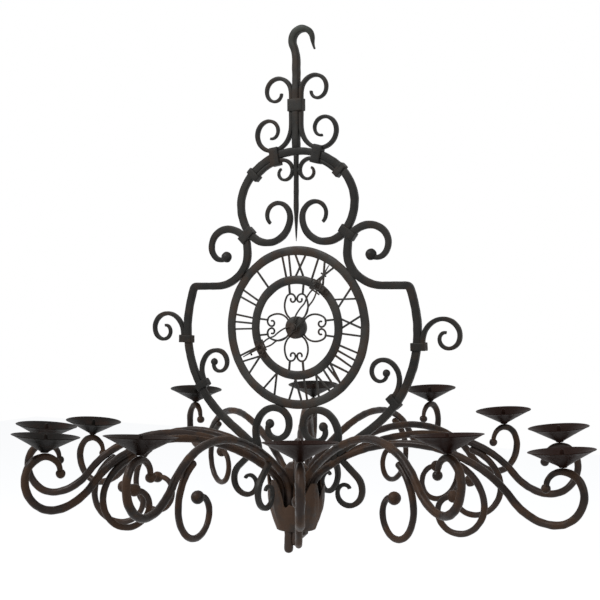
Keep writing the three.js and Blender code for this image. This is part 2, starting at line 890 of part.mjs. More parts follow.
// Round post inside the ring of arm feet, which are welded to it
function armPost() {
  const radius = riserRing - riserFlat + 2 * seat;
  const post = turnedUpright(
    [
      [0, postFoot],
      [radius * 0.6, postFoot],
      [radius, postFoot + 10],
      [radius, postTop - 10],
      [radius * 0.6, postTop],
      [0, postTop + 4],
    ],
    24,
  );
  return cut(post, bundle);
}

// Assembly: the lamp's own height is counted from the middle of the dial
const lamp = new THREE.Group();
const arms = armTrim.map((trim, index) => armBarAt(index));
arms.forEach((arm, index) => {
  const number = String(index).padStart(2, "0");
  const around = (2 * Math.PI * index) / armCount;
  const own = new THREE.Group();
  own.position.x = -riserRing;
  own.add(mesh("arm_" + number, forge(arm), "arm"));
  own.add(mesh("under_scroll_" + number, underScroll(arm, armTrim[index][4]), "arm"));
  const stand = panSeat(arm);
  const foot = riserFlat + seat + panNeck * Math.sin(rad(panLean));
  const seated = pan().rotate([0, -panLean, 0]).translate([stand.x, 0, stand.z + foot]);
  own.add(mesh("pan_" + number, seated, "pan"));
  if (index % 3 === 0) {
    own.add(mesh("lower_scroll_" + ["right", "back", "left", "front"][index / 3], lowerScroll(arm), "frame"));
  }
  const turned = new THREE.Group();
  turned.position.set(riserRing * Math.cos(around), riserRing * Math.sin(around), 0);
  turned.rotation.z = around + rad(armTrim[index][2]);
  turned.add(own);
  lamp.add(turned);
});

const rightSide = sidePieces("right", outerHeightRight, innerHeightRight, arms[0]);
const leftSide = sidePieces("left", outerHeightLeft, innerHeightLeft, arms[6]);
leftSide.rotation.z = Math.PI;
lamp.add(rightSide, leftSide);

const spike = forge({
  line: bend(0, archTop - frameWidth / 2 + 1, -90, [[spikeLength * 0.62], [spikeLength * 0.38]]),
  width: spikeWidth,
  sides: 8,
  taper: (t) => 1 - 0.85 * between(t, 0.62, 1),
});
lamp.add(mesh("arch_bar", join(forge(arch), spike), "frame"));
const hook = hookStem();
lamp.add(mesh("hook_stem", hook.body, "frame"));
lamp.add(mesh("dial", dial(), "dial"));
lamp.add(mesh("hour_hand", hand(hourReach, 0, hourAngle), "dial"));
lamp.add(mesh("minute_hand", hand(minuteReach, 1, minuteAngle), "dial"));
const riserRooms = arms.map((arm, index) => {
  const around = (360 / armCount) * index;
  const riser = forge({ ...arm, knob: 0, line: arm.line.slice(0, 5) }, seat);
  return riser
    .translate([-riserRing, 0, 0])
    .rotate([0, 0, around + armTrim[index][2]])
    .translate([riserRing * Math.cos(rad(around)), riserRing * Math.sin(rad(around)), 0]);
});
const bundle = join(...riserRooms);
lamp.add(mesh("leaf_cup", leafCup(), "leaf"));
lamp.add(mesh("arm_post", armPost(), "arm"));
lamp.position.set(-hook.crook.x, 0, -(hook.crook.z - stemWidth / 2));

const ironLamp = new THREE.Group();
ironLamp.add(lamp);

export default ironLamp;
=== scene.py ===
import json
import math
from collections import namedtuple

import bmesh
import bpy
from mathutils import Matrix, Vector, noise


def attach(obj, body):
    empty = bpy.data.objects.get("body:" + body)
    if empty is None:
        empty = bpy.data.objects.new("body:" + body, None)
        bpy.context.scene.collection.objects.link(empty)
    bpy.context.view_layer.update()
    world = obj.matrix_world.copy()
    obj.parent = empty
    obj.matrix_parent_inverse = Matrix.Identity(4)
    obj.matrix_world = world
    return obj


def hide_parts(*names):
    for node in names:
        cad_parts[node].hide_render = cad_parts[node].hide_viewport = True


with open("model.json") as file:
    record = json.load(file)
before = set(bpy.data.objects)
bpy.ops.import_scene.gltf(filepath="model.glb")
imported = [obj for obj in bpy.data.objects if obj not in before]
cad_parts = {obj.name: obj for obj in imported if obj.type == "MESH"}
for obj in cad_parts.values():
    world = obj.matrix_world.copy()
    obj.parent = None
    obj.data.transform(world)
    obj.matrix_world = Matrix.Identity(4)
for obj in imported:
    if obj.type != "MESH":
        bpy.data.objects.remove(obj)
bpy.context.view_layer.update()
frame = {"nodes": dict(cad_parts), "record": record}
scene = bpy.context.scene
lampAxis = Vector((-0.0151335, 0, -0.6330435))  # middle of the dial; the arms stand round this line
rad = math.radians
print("frame loaded,", len(frame["nodes"]), "nodes")


# A socket that can be used in sums, so shader maths reads as Python
class Wire:
    def __init__(self, paint, socket):
        self.paint = paint
        self.socket = socket

    def sum(self, operation, *values, clamp=False):
        return self.paint.add("Math", {"operation": operation, "use_clamp": clamp}, list(values))

    def __add__(self, other):
        return self.sum("ADD", self, other)

    def __sub__(self, other):
        return self.sum("SUBTRACT", self, other)

    def __rsub__(self, other):
        return self.sum("SUBTRACT", other, self)

    def __mul__(self, other):
        return self.sum("MULTIPLY", self, other)

    __radd__ = __add__
    __rmul__ = __mul__

    def clear(self):  # kept between nought and one
        return self.sum("ADD", self, 0, clamp=True)


# The nodes of one material, or of the world
class Paint:
    def __init__(self, name, world=False):
        self.holder = (bpy.data.worlds if world else bpy.data.materials).new(name)
        self.holder.use_nodes = True
        self.tree = self.holder.node_tree
        self.tree.nodes.clear()
        self.out = self.tree.nodes.new("ShaderNodeOutput" + ("World" if world else "Material"))

    def add(self, kind, settings, inputs, output=0):
        node = self.tree.nodes.new("ShaderNode" + kind)
        for key, value in settings.items():
            setattr(node, key, value)
        pairs = inputs.items() if isinstance(inputs, dict) else enumerate(inputs)
        for key, value in pairs:
            if isinstance(value, Wire):
                self.tree.links.new(value.socket, node.inputs[key])
            elif hasattr(value, "__len__") and len(value) == 3 and node.inputs[key].type == "RGBA":
                node.inputs[key].default_value = (*value, 1)
            else:
                node.inputs[key].default_value = value
        return Wire(self, node.outputs[output])

    def noise(self, spot, scale, detail=4, rough=0.55, twist=0.0):
        return self.add("TexNoise", {}, {
            "Vector": spot, "Scale": scale, "Detail": detail, "Roughness": rough, "Distortion": twist}, "Fac")

    def pits(self, spot, scale):
        return self.add("TexVoronoi", {"feature": "SMOOTH_F1"}, {
            "Vector": spot, "Scale": scale, "Smoothness": 0.6}, "Distance")

    def step(self, value, low, high):  # soft step from 0 at low to 1 at high
        return self.add("MapRange", {"interpolation_type": "SMOOTHSTEP"}, {
            "Value": value, "From Min": low, "From Max": high, "To Min": 0.0, "To Max": 1.0}, "Result")

    def blend(self, share, first, second):
        return self.add("Mix", {"data_type": "RGBA"}, {0: share, 6: first, 7: second}, 2)

    def moved(self, spot, offset):
        return self.add("VectorMath", {"operation": "ADD"}, [spot, offset])

    def seenWhite(self, lit, white):  # white to the eye and in reflections, and lit for the rest
        names = ("Is Camera Ray", "Is Glossy Ray", "Is Transmission Ray")
        seen, mirrorRay, throughRay = [self.add("LightPath", {}, {}, name) for name in names]
        share = (seen + mirrorRay + throughRay).clear()
        return self.add("MixShader", {}, {0: share, 1: lit, 2: white}, "Shader")

    def finish(self, shader):
        self.tree.links.new(shader.socket, self.out.inputs["Surface"])
        return self.holder


# Forged iron: dark scale, brown patches, freckles of rust and a hammered skin
def forgedIron(name, look):
    paint = Paint(name)
    spot = paint.add("TexCoord", {}, {}, "Object")
    normal = paint.add("NewGeometry", {}, {}, "Normal")
    facing = paint.add("SeparateXYZ", {}, {"Vector": normal}, "Z")
    cloud = paint.noise(spot, look["cloudScale"], 5, 0.6, 0.4)
    patchNoise = paint.noise(paint.moved(spot, (3.1, 1.7, 0.4)), look["patchScale"], 6, 0.62)
    patch = paint.step(patchNoise, look["patchFrom"], look["patchFrom"] + 0.16)
    freckleNoise = paint.noise(paint.moved(spot, (0.3, 4.2, 2.6)), look["freckleScale"], 3, 0.7)
    freckle = paint.step(freckleNoise, look["freckleFrom"], look["freckleFrom"] + 0.12)
    grain = paint.noise(spot, 520, 3, 0.7)
    up = paint.step(facing, 0.35, 1.0)
    body = paint.blend(paint.step(cloud, 0.36, 0.66), look["scaleDark"], look["scalePale"])
    brown = paint.blend(grain, look["rustDark"], look["rustPale"])
    if "redSide" in look:  # the pans to the right have rusted redder
        across = paint.add("SeparateXYZ", {}, {"Vector": spot}, "X")
        reddened = paint.step(across + cloud * 0.5, -0.1, 0.6)
        body = paint.blend(reddened, body, look["redSide"])
    if "paintedLowHighlight" in look:  # the lowest bends and feet are made paler, a painted highlight
        low = 0 - paint.add("SeparateXYZ", {}, {"Vector": spot}, "Z")
        body = paint.blend(paint.step(low, 0.93, 1.08) * 0.8, body, look["paintedLowHighlight"])
    rusted = (patch * look["patchShare"] + freckle * look["freckleShare"] + up * look["topShare"]).clear()
    color = paint.blend(rusted, body, brown)
    color = paint.blend(paint.step(grain, 0.55, 0.8) * look["dustShare"], color, look["dust"])
    if "verdigris" in look:  # a faint green bloom on the hook's crown
        high = paint.add("SeparateXYZ", {}, {"Vector": spot}, "Z")
        color = paint.blend(paint.step(high + cloud * 0.12, 0.03, 0.09) * 0.35, color, look["verdigris"])
    rough = (rusted * look["rustRough"] + grain * 0.16 + look["roughness"]).clear()
    dents = paint.noise(spot, look["dentScale"], 2, 0.4, 0.2) * look["dentDepth"]
    skin = paint.pits(spot, look["pitScale"]) * look["pitDepth"] + grain * look["grainDepth"]
    height = dents + skin + rusted * look["rustDepth"]
    bumped = paint.add("Bump", {}, {"Height": height, "Distance": 0.001, "Strength": look["bump"]}, "Normal")
    return paint.finish(paint.add("BsdfPrincipled", {}, {
        "Base Color": color, "Roughness": rough, "Metallic": look["metallic"], "Normal": bumped,
        "Specular IOR Level": look["gloss"]}, "BSDF"))


ironLook = {
    "cloudScale": 9, "patchScale": 16, "patchFrom": 0.5, "freckleScale": 130, "freckleFrom": 0.56,
    "patchShare": 0.5, "freckleShare": 0.35, "topShare": 0.15, "dustShare": 0.2,
    "scaleDark": (0.016, 0.0155, 0.0145), "scalePale": (0.034, 0.033, 0.030),
    "rustDark": (0.027, 0.019, 0.014), "rustPale": (0.060, 0.036, 0.023), "dust": (0.080, 0.072, 0.060),
    "roughness": 0.38, "rustRough": 0.25, "metallic": 0.12, "gloss": 0.22,
    "dentScale": 42, "dentDepth": 0.9, "pitScale": 300, "pitDepth": 0.18, "grainDepth": 0.12,
    "rustDepth": 0.08, "bump": 0.7,
}
finishes = {
    "frame_iron": forgedIron("frame_iron", {
        **ironLook, "verdigris": (0.075, 0.095, 0.075), "scalePale": (0.029, 0.0275, 0.025), "gloss": 0.14}),
    "dial_iron": forgedIron("dial_iron", {
        **ironLook, "dentScale": 26, "dentDepth": 0.4, "patchShare": 0.7, "patchFrom": 0.47,
        "scalePale": (0.040, 0.038, 0.034)}),
    "arm_iron": forgedIron("arm_iron", {
        **ironLook, "patchShare": 0.85, "patchFrom": 0.45, "roughness": 0.27, "gloss": 0.14, "metallic": 0.08,
        "scaleDark": (0.012, 0.0088, 0.0072), "scalePale": (0.034, 0.0235, 0.020),
        # the paler lowest bends and feet are a painted highlight
        "paintedLowHighlight": (0.062, 0.044, 0.036),
        "rustDark": (0.026, 0.0155, 0.010), "rustPale": (0.082, 0.043, 0.024)}),
    "pan_iron": forgedIron("pan_iron", {
        **ironLook, "dentScale": 34, "dentDepth": 1.4, "patchShare": 0.45, "topShare": 0.05,
        "scaleDark": (0.006, 0.0055, 0.0048), "scalePale": (0.011, 0.0100, 0.0088),
        "redSide": (0.015, 0.0062, 0.0044),
        "rustDark": (0.018, 0.010, 0.008), "rustPale": (0.040, 0.020, 0.014), "dustShare": 0.08,
        "metallic": 0, "roughness": 0.30, "gloss": 0.02}),
    "leaf_iron": forgedIron("leaf_iron", {
        **ironLook, "patchShare": 0.9, "patchFrom": 0.4,
        "scaleDark": (0.024, 0.0165, 0.0125), "scalePale": (0.052, 0.035, 0.026),
        "rustDark": (0.044, 0.026, 0.017), "rustPale": (0.100, 0.056, 0.034)}),
}
print("finishes made:", len(finishes))

# Bars are bent as at the anvil, in the plane of the frame or of an arm, in millimetres.
# x runs out from the lamp's axis, z up from the middle of the dial, h is the heading.
At = namedtuple("At", "x z h")


# A run of one number is straight. One of three turns by its last, in degrees, from one radius to another.
def bend(x, z, heading, runs, step=28, fine=0):
    h = rad(heading)
    line = [At(x, z, h)]
    for run in runs:
        if len(run) == 1:
            parts, angle = 1, 0
        else:
            first, final, turn = run
            parts = max(2, math.floor(max(abs(turn) / step, abs(rad(turn)) * (first + final) / 130) + 0.5))
            angle = rad(turn) / parts
        for i in range(parts):
            radius = 0 if len(run) == 1 else first + (final - first) * (i + 0.5) / parts
            length = run[0] if len(run) == 1 else abs(angle) * radius
            cuts = max(1, math.ceil(length / fine)) if fine else 1
            bit = angle / cuts
            chord = 2 * radius * math.sin(abs(bit) / 2) if angle else length / cuts
            for _ in range(cuts):
                x += chord * math.cos(h + bit / 2)
                z += chord * math.sin(h + bit / 2)
                h += bit
                line.append(At(x, z, h))
    return line


def turnedBack(line):
    return [At(p.x, p.z, p.h + math.pi) for p in reversed(line)]


def mirrored(line):
    return [At(-p.x, p.z, math.pi - p.h) for p in line]


def beside(p, offset):
    return At(p.x - math.sin(p.h) * offset, p.z + math.cos(p.h) * offset, p.h)


def pointWhere(line, measure, value):
    for p, q in zip(line, line[1:]):
        a, b = measure(p) - value, measure(q) - value
        if a * b <= 0 and a != b:
            t = a / (a - b)
            return At(p.x + (q.x - p.x) * t, p.z + (q.z - p.z) * t, math.atan2(q.z - p.z, q.x - p.x))
    return line[-1]


def nearestPoint(p, line):
    best = (math.inf, p.x, p.z)
    for a, b in zip(line, line[1:]):
        dx, dz = b.x - a.x, b.z - a.z
        t = min(1, max(0, ((p.x - a.x) * dx + (p.z - a.z) * dz) / (dx * dx + dz * dz or 1)))
        best = min(best, (math.hypot(a.x + t * dx - p.x, a.z + t * dz - p.z), a.x + t * dx, a.z + t * dz))
    return best


def gapBetween(a, b):
    return min(min(nearestPoint(p, b)[0] for p in a), min(nearestPoint(p, a)[0] for p in b))


def settle(measure, opened, shut):
    for _ in range(32):
        middle = (opened + shut) / 2
        if measure(middle) > 0:
            opened = middle
        else:
            shut = middle
    return opened


def between(value, low, high):
    return min(1, max(0, (value - low) / (high - low)))


# Outlines of a bar's section, as shares of its half width and half depth
def squareSection(ease):
    corner = [(1, 1 - ease), (1 - ease * 0.3, 1 - ease * 0.3), (1 - ease, 1), (0, 1)]
    return [turnOnce(point, k) for k in range(4) for point in corner]


def turnOnce(point, quarter):
    u, v = point
    for _ in range(quarter):
        u, v = -v, u
    return u, v


def roundSection(count=16):
    return [(math.cos(2 * math.pi * k / count), math.sin(2 * math.pi * k / count)) for k in range(count)]


frameMatrix = Matrix.Translation(lampAxis) @ Matrix.Scale(0.001, 4)


def addPiece(name, node, points, faces, place=frameMatrix):
    data = bpy.data.meshes.new(name)
    data.from_pydata([tuple(p) for p in points], [], faces)
    data.transform(place)
    data.validate()
    made = bmesh.new()
    made.from_mesh(data)
    bmesh.ops.recalc_face_normals(made, faces=made.faces)
    for face in made.faces:
        face.smooth = True
    made.to_mesh(data)
    made.free()
    piece = bpy.data.objects.new(name, data)
    scene.collection.objects.link(piece)
    slot = next(part["material_slot"] for part in frame["record"]["subparts"] if part["node"] == node)
    body = next(b for b, members in frame["record"]["behaviour"]["bodies"].items() if node in members)
    data.materials.append(finishes[slot])
    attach(piece, body)
    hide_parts(node)
    return piece


def evened(line, gap):  # stations no further apart than gap
    out = [line[0]]
    for p, q in zip(line, line[1:]):
        length = math.hypot(q.x - p.x, q.z - p.z)
        parts = max(1, math.ceil(length / gap))
        for i in range(1, parts + 1):
            t = i / parts
            out.append(At(p.x + (q.x - p.x) * t, p.z + (q.z - p.z) * t, p.h + (q.h - p.h) * t))
    return out


# A bar drawn along its line, with eased arrises, hammer marks and a rounded or knobbed end
def barPoints(bar):
    section = bar.get("section") or squareSection(0.24)
    taper = bar.get("taper", lambda t: 1)
    width, depth = bar["width"], bar.get("depth", bar["width"])
    line = evened(bar["line"], bar.get("gap", 5))
    lengths = [0]
    for p, q in zip(line, line[1:]):
        lengths.append(lengths[-1] + math.hypot(q.x - p.x, q.z - p.z))
    rings = []
    for p, length in zip(line, lengths):
        size = taper(length / lengths[-1])
        rings.append((p.x, p.z, p.h, width * size / 2, depth * size / 2))
    head, tail = rings[0], rings[-1]
    dome = [(0.5, 0.86), (0.85, 0.5), (1.0, 0.12)]

    def capped(end, sign, bulge):
        x, z, h, a, b = end
        reach = min(a, b) * bulge
        return [(x + sign * math.cos(h) * reach * s, z + sign * math.sin(h) * reach * s, h, a * k, b * k)
                for s, k in dome]

    knob = bar.get("knob", 0)
    if knob:
        x, z, h = tail[:3]
        for angle in range(48, 180, 12):
            along = knob * (0.75 - math.cos(rad(angle)))
            size = knob * math.sin(rad(angle))
            rings.append((x + math.cos(h) * along, z + math.sin(h) * along, h, size, size))
    else:
        rings += capped(tail, 1, bar.get("bulge", 0.35))
    rings = capped(head, -1, bar.get("bulge", 0.35))[::-1] + rings
    hammer = bar.get("hammer", 0.3)
    seed = bar.get("seed", 0)
    points = []
    for x, z, h, a, b in rings:
        for u, v in section:
            up, out = u * a, v * b
            px, py, pz = x - math.sin(h) * up, out, z + math.cos(h) * up
            mark = noise.noise(Vector((px + seed * 37, py, pz)) / 13) * hammer
            mark += noise.noise(Vector((px, py + seed * 19, pz)) / 41) * hammer
            grown = 1 + mark / max(a, b, 1)
            points.append((x - math.sin(h) * up * grown, out * grown, z + math.cos(h) * up * grown))
    count = len(section)
    faces = []
    for i in range(len(rings) - 1):
        for k in range(count):
            a, b = i * count + k, i * count + (k + 1) % count
            faces.append((a, b, b + count, a + count))
    faces.append(tuple(range(count - 1, -1, -1)))
    faces.append(tuple(range((len(rings) - 1) * count, len(rings) * count)))
    return points, faces


def addBar(name, node, bar, place=frameMatrix):
    return addPiece(name, node, *barPoints(bar), place)


# A wrapped collar or clamp across a bar, with worn corners, a little askew
def addCollar(name, node, p, along, low, high, depth, place=frameMatrix, askew=0.0):
    made = bmesh.new()
    bmesh.ops.create_cube(made, size=1)
    bmesh.ops.scale(made, vec=(along, depth, high - low), verts=made.verts)
    bmesh.ops.bevel(made, geom=list(made.edges), offset=1.6, segments=2, profile=0.6, affect="EDGES")
    longEdges = [edge for edge in made.edges if edge.calc_length() > 6]
    bmesh.ops.subdivide_edges(made, edges=longEdges, cuts=3, use_grid_fill=True)
    turn = Matrix.Rotation(-p.h - rad(askew), 4, "Y")
    shift = Matrix.Translation((p.x, 0, p.z)) @ turn @ Matrix.Translation((0, 0, (high + low) / 2))
    bmesh.ops.transform(made, matrix=shift, verts=made.verts)
    for vert in made.verts:
        vert.co += vert.normal * noise.noise(vert.co / 9) * 0.5
    made.verts.index_update()
    points = [vert.co.copy() for vert in made.verts]
    faces = [tuple(v.index for v in face.verts) for face in made.faces]
    made.free()
    return addPiece(name, node, points, faces, place)


def addBall(name, node, p, radius, flat=1.0, place=frameMatrix):
    made = bmesh.new()
    bmesh.ops.create_icosphere(made, subdivisions=3, radius=radius)
    for vert in made.verts:
        vert.co *= 1 + 0.05 * noise.noise(vert.co / radius * 1.4 + Vector((p.x, 0, p.z)))
        vert.co.y *= flat
        vert.co += Vector((p.x, 0, p.z))
    points = [vert.co.copy() for vert in made.verts]
    faces = [tuple(v.index for v in face.verts) for face in made.faces]
    made.free()
    return addPiece(name, node, points, faces, place)


# A turned piece about the axis through the dial ("across") or about an upright one
def turnedPoints(profile, count, across=False, dent=0.0, closed=False):
    points, faces = [], []
    for r, s in profile:
        for k in range(count):
            turn = 2 * math.pi * k / count
            x, y = r * math.cos(turn), r * math.sin(turn)
            if dent and r > 1:
                x *= 1 + dent * noise.noise(Vector((x, y, s)) / 24) / r
                y *= 1 + dent * noise.noise(Vector((x, y, s)) / 24) / r
            points.append((x, s, y) if across else (x, y, s))
    rows = len(profile)
    for i in range(rows if closed else rows - 1):
        for k in range(count):
            a, b = i * count + k, i * count + (k + 1) % count
            c, d = ((i + 1) % rows) * count + (k + 1) % count, ((i + 1) % rows) * count + k
            faces.append((a, b, c, d))
    return points, faces


# Frame: sizes of the bars, their collars and where they go
dialRadius = 175
frameBar = {"width": 16, "depth": 12, "scroll": 9.5, "scrollDepth": 10, "spike": 9.5, "seat": 0.3}
clasp = {"along": 17, "near": 12.5, "far": 19, "depth": 18}
seat = frameBar["seat"]
fine = 4
sideReach = dialRadius + frameBar["width"] / 2 + seat
sideTouch = rad(41)  # how far up the dial the side bars touch it
scrollReach = (frameBar["width"] + frameBar["scroll"]) / 2


def sideUpLine(fineStep=0):
    side = {"waist": 86, "neck": 17, "volute": 52, "eye": 16}
    v, reach = side["volute"], sideReach
    return bend(reach * math.cos(sideTouch), reach * math.sin(sideTouch), 131, [
        (side["waist"] * 0.7, side["waist"] * 0.7, -46), (side["neck"],), (v * 0.48, v * 0.48, -40),
        (v * 1.36, v * 0.76, -80), (v * 0.76, v * 0.6, -90),
        (v * 0.56, side["eye"] * 0.75, -110)], fine=fineStep)


def sideDownLine(fineStep=0):
    side = {"waist": 86, "shelf": 52, "corner": 10, "belly": 262, "foot": 700}
    reach = sideReach
    return bend(reach * math.cos(sideTouch), reach * math.sin(sideTouch), -49, [
        (side["waist"], side["waist"] * 1.1, 49), (side["shelf"],), (side["corner"], side["corner"], -69.5),
        (side["belly"], side["belly"] * 0.87, -70.5), (side["foot"], side["foot"], -5), (60,)], 14, fineStep)


outerBar = {"lead": 10, "volute": 52, "curl": 26, "eye": 9}
innerBar = {"lead": 6, "volute": 55, "eye": 11}
baseBar = {"x": 99, "sweep": 64, "volute": 38.4, "eye": 11, "leadX": 93, "lead": 30, "width": 14, "depth": 12}


def baseLine(drop, fineStep=0):
    sweep = baseBar["sweep"]
    return bend(baseBar["x"], drop, 71, [
        (sweep, sweep * 0.42, 186), (baseBar["volute"], baseBar["eye"], 245)], fine=fineStep)


sideUp, sideDown = sideUpLine(), sideDownLine()
kiss = pointWhere(sideUp, lambda p: p.h, rad(50))._replace(h=rad(50))
sideFine = turnedBack(sideUpLine(fine)) + sideDownLine(fine)[1:]

archStart = beside(kiss, frameBar["width"] + seat)
archBends = [(95, 95, 40), (75, 182, 90)]


def archRiseLine(fineStep=0):
    full = bend(0, 0, 50, archBends, 14, fineStep)
    scale = archStart.x / -bend(0, 0, 50, archBends, 14)[-1].x
    return [At(archStart.x + p.x * scale, archStart.z + p.z * scale, p.h) for p in full]


def archInLine(fineStep=0):
    return bend(archStart.x, archStart.z, 230, [(65, 50, -140), (34, 21.25, -230)], fine=fineStep)


archRise = archRiseLine()
archTop = archRise[-1].z
archHalf = turnedBack(archRiseLine(fine)) + archInLine(fine)[1:]
archFine = turnedBack(mirrored(archHalf)) + archHalf[1:]

addBar("archBar", "arch_bar", {
    "line": archFine, "width": frameBar["width"], "depth": frameBar["depth"], "hammer": 0.5,
    "taper": lambda t: 1 - 0.55 * between(abs(t - 0.5), 0.3, 0.5)})
spikeRun = {"sunk": 7, "shank": 115.3, "point": 70.7}
spikeLine = bend(0, archTop - spikeRun["sunk"], -90, [(spikeRun["shank"],), (spikeRun["point"],)], fine=fine)
addBar("archSpike", "arch_bar", {
    "line": spikeLine, "width": frameBar["spike"], "hammer": 0.4,
    "section": squareSection(0.4), "taper": lambda t: 1 - 0.85 * between(t, 0.62, 1), "bulge": 0.2})

crest = {"x": 12.05, "waist": 478, "top": 37, "low": 36, "eye": 12, "sweep": 56, "width": 8.5}


def crestLowLine(run, fineStep=0):
    return bend(crest["x"], crest["waist"], -90, [
        (run,), (crest["sweep"], crest["low"], 134), (crest["low"], crest["eye"], 330)], fine=fineStep)


crestClear = (frameBar["width"] + crest["width"]) / 2
crestRun = settle(lambda v: gapBetween(crestLowLine(v), archRise) - crestClear - seat, 0, 90)
crestHigh = bend(crest["x"], crest["waist"], 90, [(26,), (crest["top"], crest["eye"], -365)], fine=fine)
crestFine = turnedBack(crestHigh) + crestLowLine(crestRun, fine)[1:]

hangOffset = crestClear + seat
hangCoarse = [beside(p, hangOffset) for p in archRise if rad(128) < p.h < rad(168)]
hangTurn = hangCoarse[-1]


def hangTailLine(radius, fineStep=0):
    return bend(hangTurn.x, hangTurn.z, math.degrees(hangTurn.h), [(radius, 9, 350)], fine=fineStep)


hangTouch = (frameBar["spike"] + crest["width"]) / 2 + seat
hangVolute = settle(lambda r: min(p.x for p in hangTailLine(r)) - hangTouch, 5, 60)
hangFine = [beside(p, hangOffset) for p in archRiseLine(fine) if hangCoarse[0].h <= p.h <= hangTurn.h + 1e-6]
hangFine += hangTailLine(hangVolute, fine)[1:]

# Arms, each as it was bent by hand. "drawn" is a bar's width before the hammer marks. The trim of each is
# its lift at the pan, share of the reach, turn off its twelfth, longer foot, and where its scroll touches.
armSize = {
    "bar": 16, "drawn": 15.6, "foot": -447, "shoulder": -350, "rise": 100, "arch": 430, "fall": 363,
    "drop": 152, "loop": 62, "reach": 556, "ball": 10, "ring": 16.8 / (2 * math.sin(math.pi / 12)),
}
armTrim = [
    (-24, 1.054, 0, 4, 370), (-12, 1.02, 0, 0, 380), (-4, 1.035, 0, 6, 398), (37, 1.0, -8, 2, 398),
    (38, 1.0, -4.9, 0, 398), (33, 0.96, -1.4, 5, 398), (-28, 1.01, 0, 0, 398), (-7, 0.97, 0, 3, 398),
    (3, 1.0, 0, 0, 374), (26, 1.0, 0.8, 32, 398), (25, 1.0, 0.7, 16, 398), (28, 0.98, -1, 2, 398),
]
ringRadius = armSize["ring"]
armFlat = armSize["bar"] / 2 * math.cos(rad(30))  # from an arm's middle line to a flat of the CAD's bar


def armRuns(fineStep=0):
    rise, arch, fall, drop, loop = (armSize[k] for k in ("rise", "arch", "fall", "drop", "loop"))
    return bend(ringRadius, armSize["shoulder"], 90, [
        (rise * 0.09, rise, -53), (arch, arch, -28), (fall, fall * 0.44, -59), (drop, drop * 0.52, 50),
        (loop, loop * 0.96, 90), (loop * 0.74, loop * 0.64, 90),
        (loop * 0.64, loop * 0.4, 85)], fine=fineStep)


def armLine(lift, share, foot, fineStep=0):
    coarse = armRuns()
    top = pointWhere(coarse[-10:], lambda p: p.h, rad(180))
    stretch = (armSize["reach"] * share - ringRadius) / (top.x - ringRadius)
    placed = []
    for p in armRuns(fineStep):
        t = between(p.x, ringRadius + 60, top.x - armSize["loop"] * 1.2)
        placed.append(At(ringRadius + (p.x - ringRadius) * stretch, p.z + lift * t * t * (3 - 2 * t), p.h))
    return [At(ringRadius, armSize["foot"] - foot, rad(90))] + placed


def smoothHeadings(line):  # headings taken from the line itself, after it was stretched
    out = []
    for i, p in enumerate(line):
        a, b = line[max(0, i - 1)], line[min(len(line) - 1, i + 1)]
        out.append(p._replace(h=math.atan2(b.z - a.z, b.x - a.x)))
    for i in range(1, len(out)):
        turns = round((out[i].h - out[i - 1].h) / (2 * math.pi))
        out[i] = out[i]._replace(h=out[i].h - turns * 2 * math.pi)
    return out


